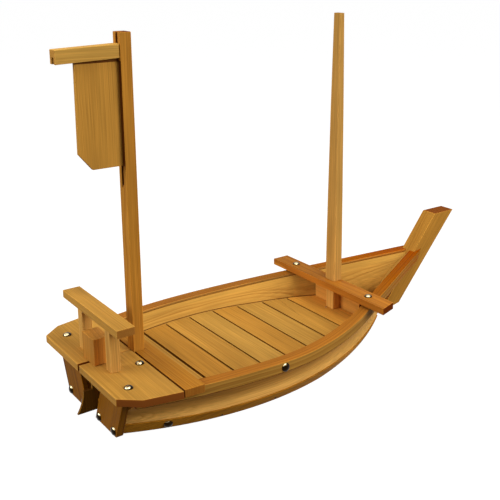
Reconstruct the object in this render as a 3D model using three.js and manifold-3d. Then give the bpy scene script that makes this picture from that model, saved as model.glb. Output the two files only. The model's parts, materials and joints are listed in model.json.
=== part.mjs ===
// Wooden sushi boat: a slatted serving tray in a small sailing hull.
// Millimetres, +X towards the bow, +Y to port, +Z up, standing on Z = 0.

import * as THREE from 'three';
import { mergeVertices } from 'three/addons/utils/BufferGeometryUtils.js';
import Module from 'manifold-3d';

const wasm = await Module();
wasm.setup();

// Fits
const JOINT_GAP = 0.3; // glue line between fixed pieces
const RUNNING_GAP = 0.3; // each side of a piece that lifts or slides out

// Hull in plan: half widths of the gunwale, a curve up to the shoulder and a straight run to the stem
const HULL_AFT_X = -275;
const WIDEST_X = -92;
const SHOULDER_X = 63;
const STERN_HALF = 96;
const WIDEST_HALF = 123;
const BOW_FLARE = 1.1; // gunwale outside the stem's side where the straight run ends on it
const SHEER_RISE = 11.5; // rise of the gunwale from the widest place to the shoulder
const HULL_STATIONS = 44;

// Bottom board: one parabola in plan, planed up under the bow
const BOTTOM_THICK = 13;
const BOTTOM_HALF = 98.5;
const BOTTOM_FLARE = 0.075; // how much wider its upper edge is, as a share
const BOTTOM_WIDEST_X = -102;
const BOTTOM_RUN = 272; // from the widest place to where the parabola would close
const BOTTOM_TIP_HALF = 11;
const ROCKER_START_X = -17;
const ROCKER_TIP_THICK = 1.5;

// Side planks
const LEDGE = 1; // top of the bottom board left showing outside the plank
const PLANK_FOOT = 22; // thickness of the plank on the bottom board
const PLANK_FOOT_BOW = 10.5; // and forward of the bulkhead
const PLANK_LEAN = 1; // step from the plank's inner edge to the rail's inner face
const COVE_DEPTH = 13;
const COVE_LOW = 0.18; // height of the cove's hollow, as a share of its rise
const WALL_DEPTH = 2.5;
const WALL_LOW = 0.565;
const CURVE_STEPS = 8;

// Gunwale rails
const RAIL_WIDTH = 16;
const RAIL_HEIGHT = 13;
const RAIL_LIP = 3; // height of the rail's inner face
const RAIL_FOOT = 5; // flat part under the rail

// Stem
const STEM_HALF = 11.8;
const STEM_TOP_Z = 146;
const STEM_TOP_AFT_X = 263.8;
const STEM_TOP_FORE_X = 303;
const STEM_FOOT_AFT = [160, 15];
const STEM_FOOT_FORE = [197, 22];
const STEM_LAP = 0.3; // share of the stem's depth that planks and rails lap over

// Stern deck and aft beam
const DECK_TOP = 66;
const BOARD_THICK = 9;
const DECK_AFT_X = -297;
const DECK_CHAMFER_X = -275;
const DECK_AFT_HALF = 94.5;
const DECK_CHAMFER_HALF = 113;
const DECK_FORE_HALF = 122.5;
const BEAM_AFT_X = -230;
const BEAM_WIDTH = 24;
const BEAM_AFT_HALF = 121;
const BEAM_FORE_HALF = 122.5;
const BEAM_RISE = 0.6; // height of the beam's top over the deck
const DECK_BEAM_GAP = 1.6;

// Transom planks, leaning outwards with the hull's flare
const TRANSOM_THICK = 9;
const TRANSOM_GAP_HALF = 9.4;
const TRANSOM_WIDTH = 52.6;
const TRANSOM_FLARE = 0.42; // outward run for each millimetre of height

// Bench over the rudder head
const BENCH_X = -270.5;
const BENCH_WIDTH = 21.5;
const BENCH_HALF = 71.3;
const BENCH_TOP = 129;
const BENCH_THICK = 9.5;
const POST_SIDE = 12;
const POST_Y = 35.6;

// Rudder
const HEAD_AFT_X = -283.9;
const HEAD_LENGTH = 19.7;
const HEAD_HALF = 15.4;
const HEAD_HEIGHT = 31.9;
const HEAD_MORTISE = 10;
const BLADE_THICK = 3.4;
const STOCK_AFT_X = -282.5;
const STOCK_LENGTH = 12.5;
const BLADE_FORE_X = -276;
const BLADE_HEEL_X = -301.5;
const BLADE_SHOULDER_X = -293;
const BLADE_BOTTOM = 5;
const BLADE_SHOULDER_Z = 32;
const BLADE_STEP_Z = 17; // height where the stock's fore edge clears the bottom board

// Rear mast and flag
const REAR_MAST_LONG = 13.6; // side along the boat
const REAR_MAST_WIDE = 16.6; // side across the boat
const REAR_MAST_TOP = 431;
const KERF_WIDTH = 5;
const KERF_DEPTH = 7;
const KERF_LENGTH = 144.8; // at its full depth, from the mast's top
const KERF_RUNOUT = 26; // length of the saw's curved run-out below the full depth
const ARM_AFT_X = -303;
const ARM_HALF = 6.75;
const ARM_DROP = 30; // underside of its aft end below the mast's top
const ARM_RISE = 2.8; // how much higher it lies at the mast
const ARM_HEIGHT = 15.2;
const ARM_GROOVE = 7;
const PANEL_THICK = 4.4;
const PANEL_AFT_X = -280.7;
const PANEL_RAKE = 1.1; // how far the aft edge leans out at its foot
const PANEL_CORNER_X = 15.3;
const PANEL_CORNER_Z = 18.5;

// Crossbeam, fore mast and bulkhead
const CROSSBEAM_AFT_LAND = 17.8; // from its aft edge to the mast's middle
const CROSSBEAM_WIDTH = 25;
const CROSSBEAM_PORT_OVER = 29.1; // its ends outside the gunwale
const CROSSBEAM_STBD_OVER = 32.6;
const CROSSBEAM_SKEW = 8; // how much shorter the starboard end is along its fore edge
const CROSSBEAM_THICK = 8.8;
const CROSSBEAM_RISE = 0.8; // height of its underside over the rails at mid width
const FORE_MAST_TOP = 441;
const FORE_MAST_FOOT_LONG = 13.6; // side along the boat, where it stands on the crossbeam
const FORE_MAST_FOOT_WIDE = 19; // side across the boat
const TENON_LONG = 12.8; // the part that passes through the crossbeam
const TENON_WIDE = 15.4;
const FORE_MAST_TOP_LONG = 7.6;
const FORE_MAST_TOP_WIDE = 12.8;
const FORE_MAST_TAPER = 1.5; // above 1 the taper gathers towards the top
const FORE_MAST_EDGE = 1; // eased corners
const FORE_MAST_STEPS = 6;
const BULKHEAD_THICK = 8;

// Tray
const SLAT_TOP = 41;
const SLAT_THICK = 8;
const SLAT_PITCH = 36.4;
const SLAT_GAP = 2.4;
const FIRST_SLAT_GAP = 3.2; // the first gap is the widest
const SLAT_COUNT = 8;
const FIRST_SLAT_X = -209.4;
const LAST_SLAT_EXTRA = 3.4; // how much wider than the pitch the last slat is
const WALL_GAP = 0.5; // between the tray and the side planks
const BEARER_WIDTH = 16;
const BEARER_Y = 42;

// Domed tacks
const TACK_RADIUS = 5.2;
const TACK_DOME = 2.8;
const TACK_SHANK_RADIUS = 0.9;
const TACK_SHANK = 8;
const TACK_HOLE_GAP = 0.3;
const TACK_SIDES = 12;
const TACK_RINGS = 4;
const DECK_TACK_AFT = [-275.5, 80.8];
const DECK_TACK_FORE = [-239.5, 37.7];
const CROSSBEAM_TACK_IN = 8.9; // inside the gunwale
const TRANSOM_TACK_Z = 6.2;
const TRANSOM_TACK_INNER_Y = 20;
const TRANSOM_TACK_OUTER_Y = 57;
const LEDGE_TACK_X = -229;
const RAIL_TACK_X = -98;

// Levels and places that follow from the sizes above
const DECK_BOTTOM = DECK_TOP - BOARD_THICK;
const SHEER_AFT = DECK_BOTTOM + RAIL_LIP;
const BEAM_FORE_X = BEAM_AFT_X + BEAM_WIDTH;
const DECK_FORE_X = BEAM_AFT_X - DECK_BEAM_GAP;
const REAR_MAST_AFT_X = DECK_FORE_X + RUNNING_GAP;
const TRANSOM_FORE_X = HULL_AFT_X - JOINT_GAP;
const SLAT_BOTTOM = SLAT_TOP - SLAT_THICK;
const TRAY_FORE_X = FIRST_SLAT_X + SLAT_COUNT * SLAT_PITCH + LAST_SLAT_EXTRA;
const BULKHEAD_AFT_X = TRAY_FORE_X + JOINT_GAP;
const BULKHEAD_FORE_X = BULKHEAD_AFT_X + BULKHEAD_THICK;
const FORE_MAST_X = BULKHEAD_AFT_X - RUNNING_GAP - TENON_LONG / 2;
const CROSSBEAM_AFT_X = FORE_MAST_X - CROSSBEAM_AFT_LAND;
const CROSSBEAM_FORE_X = CROSSBEAM_AFT_X + CROSSBEAM_WIDTH;
const KERF_END_Z = REAR_MAST_TOP - KERF_LENGTH;
const ARM_BOTTOM = REAR_MAST_TOP - ARM_DROP;
const FAR = 2 * STEM_TOP_FORE_X; // reach of cutting blocks, past everything

// The line on the stem's sides where planks and rails stop
const lapFootX = STEM_FOOT_AFT[0] + STEM_LAP * (STEM_FOOT_FORE[0] - STEM_FOOT_AFT[0]);
const lapTopX = STEM_TOP_AFT_X + STEM_LAP * (STEM_TOP_FORE_X - STEM_TOP_AFT_X);
const lapSlope = (lapTopX - lapFootX) / (STEM_TOP_Z - STEM_FOOT_AFT[1]);

// How the gunwale rises and draws in from its widest place to the stem
const bowRun = SHOULDER_X - WIDEST_X;
const sheerSlope = (2 * SHEER_RISE) / bowRun;
const straightRunZ = SHEER_AFT + SHEER_RISE - sheerSlope * SHOULDER_X;
const gunwaleEndX = (lapFootX + lapSlope * (straightRunZ - STEM_FOOT_AFT[1])) / (1 - lapSlope * sheerSlope);
const shoulderDrop = (WIDEST_HALF - STEM_HALF - BOW_FLARE) / (1 + (2 * (gunwaleEndX - SHOULDER_X)) / bowRun);

// Half width of the gunwale's outer edge at a place along the hull
function gunwaleHalf(x) {
  if (x < WIDEST_X) {
    const share = (x - WIDEST_X) / (HULL_AFT_X - WIDEST_X);
    return WIDEST_HALF - (WIDEST_HALF - STERN_HALF) * share ** 2;
  }
  if (x < SHOULDER_X) {
    return WIDEST_HALF - shoulderDrop * ((x - WIDEST_X) / bowRun) ** 2;
  }
  return WIDEST_HALF - shoulderDrop - ((2 * shoulderDrop) / bowRun) * (x - SHOULDER_X);
}

// Height of the gunwale's top
function sheer(x) {
  if (x < WIDEST_X) {
    return SHEER_AFT;
  }
  if (x < SHOULDER_X) {
    return SHEER_AFT + SHEER_RISE * ((x - WIDEST_X) / bowRun) ** 2;
  }
  return straightRunZ + sheerSlope * x;
}

// Half widths of the bottom board's lower and upper edges
function bottomHalf(x) {
  return BOTTOM_HALF * (1 - ((x - BOTTOM_WIDEST_X) / BOTTOM_RUN) ** 2);
}

function lipHalf(x) {
  return bottomHalf(x) * (1 + BOTTOM_FLARE);
}

const BOTTOM_TIP_X = BOTTOM_WIDEST_X + BOTTOM_RUN * Math.sqrt(1 - BOTTOM_TIP_HALF / BOTTOM_HALF);
const crossbeamMiddleX = CROSSBEAM_AFT_X + CROSSBEAM_WIDTH / 2;
const CROSSBEAM_BOTTOM = sheer(crossbeamMiddleX) + CROSSBEAM_RISE;
const CROSSBEAM_TOP = CROSSBEAM_BOTTOM + CROSSBEAM_THICK;

// Booleans on closed geometries
function toSolid(geometry) {
  const bare = geometry.clone();
  bare.deleteAttribute('normal');
  bare.deleteAttribute('uv');
  const merged = mergeVertices(bare, 1e-4);
  return new wasm.Manifold(
    new wasm.Mesh({
      numProp: 3,
      vertProperties: new Float32Array(merged.attributes.position.array),
      triVerts: new Uint32Array(merged.index.array),
    }),
  );
}

function fromSolid(solid) {
  const mesh = solid.getMesh();
  const geometry = new THREE.BufferGeometry();
  geometry.setAttribute('position', new THREE.BufferAttribute(new Float32Array(mesh.vertProperties), 3));
  geometry.setIndex(new THREE.BufferAttribute(new Uint32Array(mesh.triVerts), 1));
  geometry.computeVertexNormals();
  return geometry;
}

function cut(geometry, ...tools) {
  let solid = toSolid(geometry);
  for (const tool of tools) {
    solid = solid.subtract(toSolid(tool));
  }
  return fromSolid(solid);
}

function common(geometry, ...tools) {
  let solid = toSolid(geometry);
  for (const tool of tools) {
    solid = solid.intersect(toSolid(tool));
  }
  return fromSolid(solid);
}

// Basic forms
function block(x, y, z) {
  const geometry = new THREE.BoxGeometry(x[1] - x[0], y[1] - y[0], z[1] - z[0]);
  return geometry.translate((x[0] + x[1]) / 2, (y[0] + y[1]) / 2, (z[0] + z[1]) / 2);
}

// A board cut to an outline seen from above, between two heights
function boardFromAbove(shape, bottom, top) {
  const settings = { depth: top - bottom, bevelEnabled: false, curveSegments: 8 };
  const geometry = new THREE.ExtrudeGeometry(shape, settings);
  return geometry.translate(0, 0, bottom);
}

// A board cut to an outline seen from the side (X, Z), centred on the boat's middle plane
function boardFromSide(shape, thick) {
  const geometry = new THREE.ExtrudeGeometry(shape, { depth: thick, bevelEnabled: false, curveSegments: 8 });
  return geometry.rotateX(Math.PI / 2).translate(0, thick / 2, 0);
}

// A plank cut to an outline seen from astern (Y, Z), between two places along X
function boardFromAstern(shape, aft, fore) {
  const geometry = new THREE.ExtrudeGeometry(shape, { depth: fore - aft, bevelEnabled: false });
  return geometry.rotateX(Math.PI / 2).rotateZ(Math.PI / 2).translate(aft, 0, 0);
}

function outline(points) {
  return new THREE.Shape(points.map(([a, b]) => new THREE.Vector2(a, b)));
}

// A closed skin over rings of points, with flat ends; flatten gives a ring's point on its end's plane
function loft(rings, flatten) {
  const size = rings[0].length;
  const positions = rings.flat(2);
  const faces = [];
  for (let r = 0; r < rings.length - 1; r += 1) {
    for (let i = 0; i < size; i += 1) {
      const j = (i + 1) % size;
      const [a, b] = [r * size + i, r * size + j];
      const [c, d] = [a + size, b + size];
      faces.push(a, b, d, a, d, c);
    }
  }
  const last = (rings.length - 1) * size;
  const toPlane = (p) => new THREE.Vector2(...flatten(p));
  const endFaces = (ring) => THREE.ShapeUtils.triangulateShape(ring.map(toPlane), []);
  for (const [a, b, c] of endFaces(rings[0])) {
    faces.push(a, c, b);
  }
  for (const [a, b, c] of endFaces(rings[rings.length - 1])) {
    faces.push(last + a, last + b, last + c);
  }
  const geometry = new THREE.BufferGeometry();
  geometry.setAttribute('position', new THREE.Float32BufferAttribute(positions, 3));
  geometry.setIndex(faces);
  return geometry;
}

// A skin lofted along the hull from sections of (y, z) points
function hullLoft(section, aft, fore) {
  const rings = [];
  for (let i = 0; i <= HULL_STATIONS; i += 1) {
    const x = aft + ((fore - aft) * i) / HULL_STATIONS;
    rings.push(section(x).map(([y, z]) => [x, y, z]));
  }
  return loft(rings, ([, y, z]) => [y, z]);
}

// Points of a quadratic curve, both ends included
function curvePoints(from, control, to) {
  const curve = new THREE.QuadraticBezierCurve(
    new THREE.Vector2(...from),
    new THREE.Vector2(...control),
    new THREE.Vector2(...to),
  );
  return curve.getPoints(CURVE_STEPS).map((p) => [p.x, p.y]);
}

// Scene graph
const boat = new THREE.Group();

function makeGroup() {
  const group = new THREE.Group();
  boat.add(group);
  return group;
}

const hull = makeGroup();
const stern = makeGroup();
const rudder = makeGroup();
const sail = makeGroup();
const foreRig = makeGroup();
const tray = makeGroup();
const tacks = makeGroup();

const GOLDEN = 0xc9983f;
const HONEY = 0xc77a2c;
const AMBER = 0xb5762b;
const PALE = 0xd2ab60;
const BRASS = 0x8c7440;

function addPiece(group, name, geometry, colour, metalness = 0) {
  const roughness = metalness > 0 ? 0.28 : 0.45;
  const material = new THREE.MeshStandardMaterial({ color: colour, roughness, metalness });
  const mesh = new THREE.Mesh(geometry, material);
  mesh.name = name;
  group.add(mesh);
  return mesh;
}

const SIDES = [
  ['port', 1],
  ['stbd', -1],
];

// Mirrors a port-side geometry to the given side, keeping its faces outwards
function onSide(geometry, side) {
  if (side > 0) {
    return geometry;
  }
  const solid = toSolid(geometry).mirror([0, 1, 0]);
  return fromSolid(solid);
}

// Stem: a straight raked timber
function stemShape(spread) {
  return outline([
    [STEM_FOOT_AFT[0] - spread, STEM_FOOT_AFT[1] - spread],
    [STEM_FOOT_FORE[0] + spread, STEM_FOOT_FORE[1] - spread],
    [STEM_TOP_FORE_X + spread, STEM_TOP_Z + spread],
    [STEM_TOP_AFT_X - spread, STEM_TOP_Z + spread],
  ]);
}

addPiece(hull, 'stem', boardFromSide(stemShape(0), 2 * STEM_HALF), GOLDEN);
const stemRoom = boardFromSide(stemShape(JOINT_GAP), 2 * (STEM_HALF + JOINT_GAP));

// Everything ahead of the lap line
const bowRoom = boardFromSide(
  outline([
    [lapFootX - lapSlope * STEM_FOOT_AFT[1], 0],
    [FAR, 0],
    [FAR, STEM_TOP_Z],
    [lapTopX, STEM_TOP_Z],
  ]),
  2 * WIDEST_HALF,
);
const portHalf = block([-FAR, FAR], [JOINT_GAP / 2, FAR], [-FAR, FAR]);

// Tacks: a domed head and a short shank, made along +Z with the head's flat at Z = 0
function tackProfile() {
  const points = [new THREE.Vector2(0, -TACK_SHANK), new THREE.Vector2(TACK_SHANK_RADIUS, -TACK_SHANK * 0.8)];
  points.push(new THREE.Vector2(TACK_SHANK_RADIUS, 0));
  for (let i = 0; i <= TACK_RINGS; i += 1) {
    const angle = (Math.PI / 2) * (i / TACK_RINGS);
    const radius = i === TACK_RINGS ? 0 : TACK_RADIUS * Math.cos(angle);
    points.push(new THREE.Vector2(radius, TACK_DOME * Math.sin(angle)));
  }
  return points;
}

const UP = new THREE.Vector3(0, 0, 1);

// Adds a tack at a point with its head facing the normal
function addTack(name, point, normal) {
  const geometry = new THREE.LatheGeometry(tackProfile(), TACK_SIDES).rotateX(Math.PI / 2);
  const mesh = addPiece(tacks, name, geometry, BRASS, 1);
  mesh.position.copy(point);
  mesh.quaternion.setFromUnitVectors(UP, normal);
}

// The hole that a tack's shank sits in
function tackHole(point, normal) {
  const radius = TACK_SHANK_RADIUS + TACK_HOLE_GAP;
  const depth = 2 * (TACK_SHANK + TACK_HOLE_GAP);
  const geometry = new THREE.CylinderGeometry(radius, radius, depth, TACK_SIDES).rotateX(Math.PI / 2);
  geometry.applyQuaternion(new THREE.Quaternion().setFromUnitVectors(UP, normal));
  return geometry.translate(point.x, point.y, point.z);
}

// Outward direction of a side whose half width is a function of x, on the port side
function sideNormal(half, x) {
  const slope = half(x + 0.5) - half(x - 0.5);
  return new THREE.Vector3(-slope, 1, 0).normalize();
}

const ledgeNormal = sideNormal(lipHalf, LEDGE_TACK_X);
const ledgeLean = lipHalf(LEDGE_TACK_X) - bottomHalf(LEDGE_TACK_X);
ledgeNormal.z = (-ledgeNormal.y * ledgeLean) / BOTTOM_THICK;
ledgeNormal.normalize();
const ledgePoint = new THREE.Vector3(
  LEDGE_TACK_X,
  lipHalf(LEDGE_TACK_X) - ledgeLean / 2,
  BOTTOM_THICK / 2,
);
ledgePoint.addScaledVector(ledgeNormal, JOINT_GAP);
const railNormal = sideNormal(gunwaleHalf, RAIL_TACK_X);
const railMiddleZ = sheer(RAIL_TACK_X) - RAIL_HEIGHT / 2;
const railPoint = new THREE.Vector3(RAIL_TACK_X, gunwaleHalf(RAIL_TACK_X), railMiddleZ);
railPoint.addScaledVector(railNormal, JOINT_GAP);

function toSide(vector, side) {
  return new THREE.Vector3(vector.x, side * vector.y, vector.z);
}

// Bottom board
function bottomSection(x) {
  return [
    [bottomHalf(x), 0],
    [lipHalf(x), BOTTOM_THICK],
    [-lipHalf(x), BOTTOM_THICK],
    [-bottomHalf(x), 0],
  ];
}

const rockerSlope = (BOTTOM_THICK - ROCKER_TIP_THICK) / (BOTTOM_TIP_X - ROCKER_START_X);
const rockerRoom = boardFromSide(
  outline([
    [ROCKER_START_X, 0],
    [ROCKER_START_X, -BOTTOM_THICK],
    [FAR, -BOTTOM_THICK],
    [FAR, rockerSlope * (FAR - ROCKER_START_X)],
  ]),
  4 * BOTTOM_HALF,
);
const bottomHoles = SIDES.map(([, side]) => tackHole(toSide(ledgePoint, side), toSide(ledgeNormal, side)));
const bottomBoard = cut(hullLoft(bottomSection, HULL_AFT_X, BOTTOM_TIP_X), rockerRoom, ...bottomHoles);
addPiece(hull, 'bottom_board', bottomBoard, AMBER);

// Thickness of the plank's foot, which thins from the start of the rocker to the bulkhead
function plankFoot(x) {
  const share = THREE.MathUtils.smoothstep(x, ROCKER_START_X, BULKHEAD_AFT_X);
  return PLANK_FOOT - (PLANK_FOOT - PLANK_FOOT_BOW) * share;
}

// The plank's inner wall from its foot to its top edge, as (y, z) points
function wallPoints(x) {
  const foot = [lipHalf(x) - LEDGE - plankFoot(x), BOTTOM_THICK + JOINT_GAP];
  const top = [gunwaleHalf(x) - RAIL_WIDTH - PLANK_LEAN, sheer(x) - RAIL_LIP - JOINT_GAP];
  const control = [foot[0] - WALL_DEPTH, foot[1] + WALL_LOW * (top[1] - foot[1])];
  return curvePoints(foot, control, top);
}

// Side planks, hollowed outside to a cove
function plankSection(x) {
  const foot = [lipHalf(x) - LEDGE, BOTTOM_THICK + JOINT_GAP];
  const top = [gunwaleHalf(x) - RAIL_FOOT - JOINT_GAP, sheer(x) - RAIL_HEIGHT - JOINT_GAP];
  const control = [foot[0] - COVE_DEPTH, foot[1] + COVE_LOW * (top[1] - foot[1])];
  return [...curvePoints(foot, control, top), ...wallPoints(x).reverse()];
}

// Rails, with a sloping underside that takes the plank's leaning top edge
function railSection(x) {
  const outer = gunwaleHalf(x);
  const top = sheer(x);
  return [
    [outer, top],
    [outer - RAIL_WIDTH, top],
    [outer - RAIL_WIDTH, top - RAIL_LIP],
    [outer - RAIL_FOOT, top - RAIL_HEIGHT],
    [outer, top - RAIL_HEIGHT],
  ];
}

const deckRoom = block([-FAR, BEAM_FORE_X + JOINT_GAP], [-FAR, FAR], [DECK_BOTTOM - JOINT_GAP, FAR]);
const crossbeamRoom = block(
  [CROSSBEAM_AFT_X - JOINT_GAP, CROSSBEAM_FORE_X + JOINT_GAP],
  [-FAR, FAR],
  [CROSSBEAM_BOTTOM - JOINT_GAP, FAR],
);
const plank = cut(common(hullLoft(plankSection, HULL_AFT_X, lapTopX), portHalf), stemRoom, bowRoom);
const rail = cut(
  common(hullLoft(railSection, HULL_AFT_X, lapTopX), portHalf),
  stemRoom,
  bowRoom,
  deckRoom,
  crossbeamRoom,
  tackHole(railPoint, railNormal),
);
for (const [label, side] of SIDES) {
  addPiece(hull, `side_plank_${label}`, onSide(plank, side), GOLDEN);
  addPiece(hull, `gunwale_rail_${label}`, onSide(rail, side), HONEY);
}

// Transom planks
const transomRun = TRANSOM_FLARE * DECK_BOTTOM;
const transomShape = outline([
  [TRANSOM_GAP_HALF, 0],
  [TRANSOM_GAP_HALF + TRANSOM_WIDTH, 0],
  [TRANSOM_GAP_HALF + TRANSOM_WIDTH + transomRun, DECK_BOTTOM],
  [TRANSOM_GAP_HALF + transomRun, DECK_BOTTOM],
]);
const ASTERN = new THREE.Vector3(-1, 0, 0);
const transomAftX = TRANSOM_FORE_X - TRANSOM_THICK;
const transomTacks = [
  ['inner', new THREE.Vector3(transomAftX, TRANSOM_TACK_INNER_Y, TRANSOM_TACK_Z)],
  ['outer', new THREE.Vector3(transomAftX, TRANSOM_TACK_OUTER_Y, TRANSOM_TACK_Z)],
];
const transom = cut(
  boardFromAstern(transomShape, transomAftX, TRANSOM_FORE_X),
  ...transomTacks.map(([, point]) => tackHole(point, ASTERN)),
);
for (const [label, side] of SIDES) {
  addPiece(hull, `transom_${label}`, onSide(transom, side), AMBER);
}

// Stern deck boards, with the rudder slot on their joint
const slotForeX = STOCK_AFT_X + STOCK_LENGTH + RUNNING_GAP;
const slotHalf = BLADE_THICK / 2 + RUNNING_GAP;
const deckShape = outline([
  [DECK_AFT_X, slotHalf],
  [slotForeX, slotHalf],
  [slotForeX, JOINT_GAP / 2],
  [DECK_FORE_X, JOINT_GAP / 2],
  [DECK_FORE_X, DECK_FORE_HALF],
  [DECK_CHAMFER_X, DECK_CHAMFER_HALF],
  [DECK_AFT_X, DECK_AFT_HALF],
]);
const deckTacks = [
  ['aft', new THREE.Vector3(...DECK_TACK_AFT, DECK_TOP)],
  ['fore', new THREE.Vector3(...DECK_TACK_FORE, DECK_TOP)],
];
const deck = cut(
  boardFromAbove(deckShape, DECK_BOTTOM, DECK_TOP),
  ...deckTacks.map(([, point]) => tackHole(point, UP)),
);
for (const [label, side] of SIDES) {
  addPiece(stern, `stern_deck_${label}`, onSide(deck, side), GOLDEN);
}

// Aft beam, notched for the rear mast
const mastNotch = block(
  [REAR_MAST_AFT_X - RUNNING_GAP, REAR_MAST_AFT_X + REAR_MAST_LONG + RUNNING_GAP],
  [-REAR_MAST_WIDE / 2 - RUNNING_GAP, REAR_MAST_WIDE / 2 + RUNNING_GAP],
  [0, FAR],
);
const beamShape = outline([
  [BEAM_AFT_X, -BEAM_AFT_HALF],
  [BEAM_FORE_X, -BEAM_FORE_HALF],
  [BEAM_FORE_X, BEAM_FORE_HALF],
  [BEAM_AFT_X, BEAM_AFT_HALF],
]);
const beam = boardFromAbove(beamShape, DECK_BOTTOM, DECK_TOP + BEAM_RISE);
addPiece(stern, 'aft_beam', cut(beam, mastNotch), GOLDEN);

// Bench
const benchTop = new THREE.BoxGeometry(BENCH_WIDTH, 2 * BENCH_HALF, BENCH_THICK);
addPiece(stern, 'bench_top', benchTop, GOLDEN).position.set(BENCH_X, 0, BENCH_TOP - BENCH_THICK / 2);
const postHeight = BENCH_TOP - BENCH_THICK - DECK_TOP;
for (const [label, side] of SIDES) {
  const post = new THREE.BoxGeometry(POST_SIDE, POST_SIDE, postHeight);
  const placed = addPiece(stern, `bench_post_${label}`, post, PALE);
  placed.position.set(BENCH_X, side * POST_Y, DECK_TOP + postHeight / 2);
}

// Rudder: a head block on the deck and a thin blade whose stock is let into it
const headBottom = DECK_TOP + RUNNING_GAP;
const stockTop = headBottom + HEAD_MORTISE;
const head = block(
  [HEAD_AFT_X, HEAD_AFT_X + HEAD_LENGTH],
  [-HEAD_HALF, HEAD_HALF],
  [headBottom, headBottom + HEAD_HEIGHT],
);
const mortise = block(
  [STOCK_AFT_X - JOINT_GAP, STOCK_AFT_X + STOCK_LENGTH + JOINT_GAP],
  [-BLADE_THICK / 2 - JOINT_GAP, BLADE_THICK / 2 + JOINT_GAP],
  [0, stockTop + JOINT_GAP],
);
addPiece(rudder, 'rudder_head', cut(head, mortise), HONEY);

const bladeShape = new THREE.Shape();
bladeShape.moveTo(BLADE_HEEL_X, BLADE_BOTTOM);
bladeShape.lineTo(BLADE_FORE_X, BLADE_BOTTOM);
bladeShape.lineTo(BLADE_FORE_X, BLADE_STEP_Z);
bladeShape.lineTo(STOCK_AFT_X + STOCK_LENGTH, BLADE_STEP_Z + STOCK_LENGTH / 2);
bladeShape.lineTo(STOCK_AFT_X + STOCK_LENGTH, stockTop);
bladeShape.lineTo(STOCK_AFT_X, stockTop);
bladeShape.lineTo(STOCK_AFT_X, BLADE_SHOULDER_Z);
bladeShape.lineTo(BLADE_SHOULDER_X, BLADE_SHOULDER_Z);
bladeShape.quadraticCurveTo(
  BLADE_SHOULDER_X,
  BLADE_BOTTOM + (BLADE_SHOULDER_Z - BLADE_BOTTOM) / 2,
  BLADE_HEEL_X,
  BLADE_BOTTOM,
);
addPiece(rudder, 'rudder_blade', boardFromSide(bladeShape, BLADE_THICK), AMBER);

// Rear mast with the saw kerf that takes the flag
const mastFoot = BOTTOM_THICK + JOINT_GAP;
const mast = block(
  [REAR_MAST_AFT_X, REAR_MAST_AFT_X + REAR_MAST_LONG],
  [-REAR_MAST_WIDE / 2, REAR_MAST_WIDE / 2],
  [mastFoot, REAR_MAST_TOP],
);
const kerfShape = new THREE.Shape();
kerfShape.moveTo(REAR_MAST_AFT_X - KERF_DEPTH, REAR_MAST_TOP + KERF_DEPTH);
kerfShape.lineTo(REAR_MAST_AFT_X - KERF_DEPTH, KERF_END_Z - KERF_RUNOUT);
kerfShape.lineTo(REAR_MAST_AFT_X, KERF_END_Z - KERF_RUNOUT);
kerfShape.quadraticCurveTo(
  REAR_MAST_AFT_X + KERF_DEPTH,
  KERF_END_Z - KERF_RUNOUT / 2,
  REAR_MAST_AFT_X + KERF_DEPTH,
  KERF_END_Z,
);
kerfShape.lineTo(REAR_MAST_AFT_X + KERF_DEPTH, REAR_MAST_TOP + KERF_DEPTH);
addPiece(sail, 'rear_mast', cut(mast, boardFromSide(kerfShape, KERF_WIDTH)), GOLDEN);

// Flag arm: a tongue in the kerf and a groove below for the panel
const armForeX = REAR_MAST_AFT_X - RUNNING_GAP;
const tongueForeX = REAR_MAST_AFT_X + KERF_DEPTH - RUNNING_GAP;
const tongueHalf = KERF_WIDTH / 2 - RUNNING_GAP;

// Underside of the arm, which rises towards the mast
function armUnder(x) {
  return ARM_BOTTOM + (ARM_RISE * (x - ARM_AFT_X)) / (armForeX - ARM_AFT_X);
}

// A strip along the arm between two places, from one height over its underside to another
function armStrip(aft, fore, low, high) {
  return outline([
    [aft, armUnder(aft) + low],
    [fore, armUnder(fore) + low],
    [fore, armUnder(fore) + high],
    [aft, armUnder(aft) + high],
  ]);
}

const grooveForeX = armForeX - KERF_DEPTH;
const armBar = boardFromSide(armStrip(ARM_AFT_X, armForeX, 0, ARM_HEIGHT), 2 * ARM_HALF);
const tongue = boardFromSide(armStrip(grooveForeX, tongueForeX, 0, ARM_HEIGHT), 2 * tongueHalf);
const grooveRoom = boardFromSide(
  armStrip(ARM_AFT_X - KERF_DEPTH, grooveForeX, -ARM_GROOVE, ARM_GROOVE),
  PANEL_THICK + 2 * JOINT_GAP,
);
const armSolid = fromSolid(toSolid(armBar).add(toSolid(tongue)));
addPiece(sail, 'flag_arm', cut(armSolid, grooveRoom), GOLDEN);

// Flag panel: its top edge in the groove, its fore edge in the kerf
const panelBottom = KERF_END_Z + RUNNING_GAP;
const panelDepth = ARM_GROOVE - JOINT_GAP;
const panelStepX = grooveForeX - JOINT_GAP;
const panelShape = outline([
  [PANEL_AFT_X, armUnder(PANEL_AFT_X) + panelDepth],
  [PANEL_AFT_X - PANEL_RAKE, panelBottom + PANEL_CORNER_Z],
  [PANEL_AFT_X - PANEL_RAKE + PANEL_CORNER_X, panelBottom],
  [tongueForeX, panelBottom],
  [tongueForeX, armUnder(tongueForeX) - JOINT_GAP],
  [panelStepX, armUnder(panelStepX) - JOINT_GAP],
  [panelStepX, armUnder(panelStepX) + panelDepth],
]);
addPiece(sail, 'flag_panel', boardFromSide(panelShape, PANEL_THICK), GOLDEN);

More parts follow.
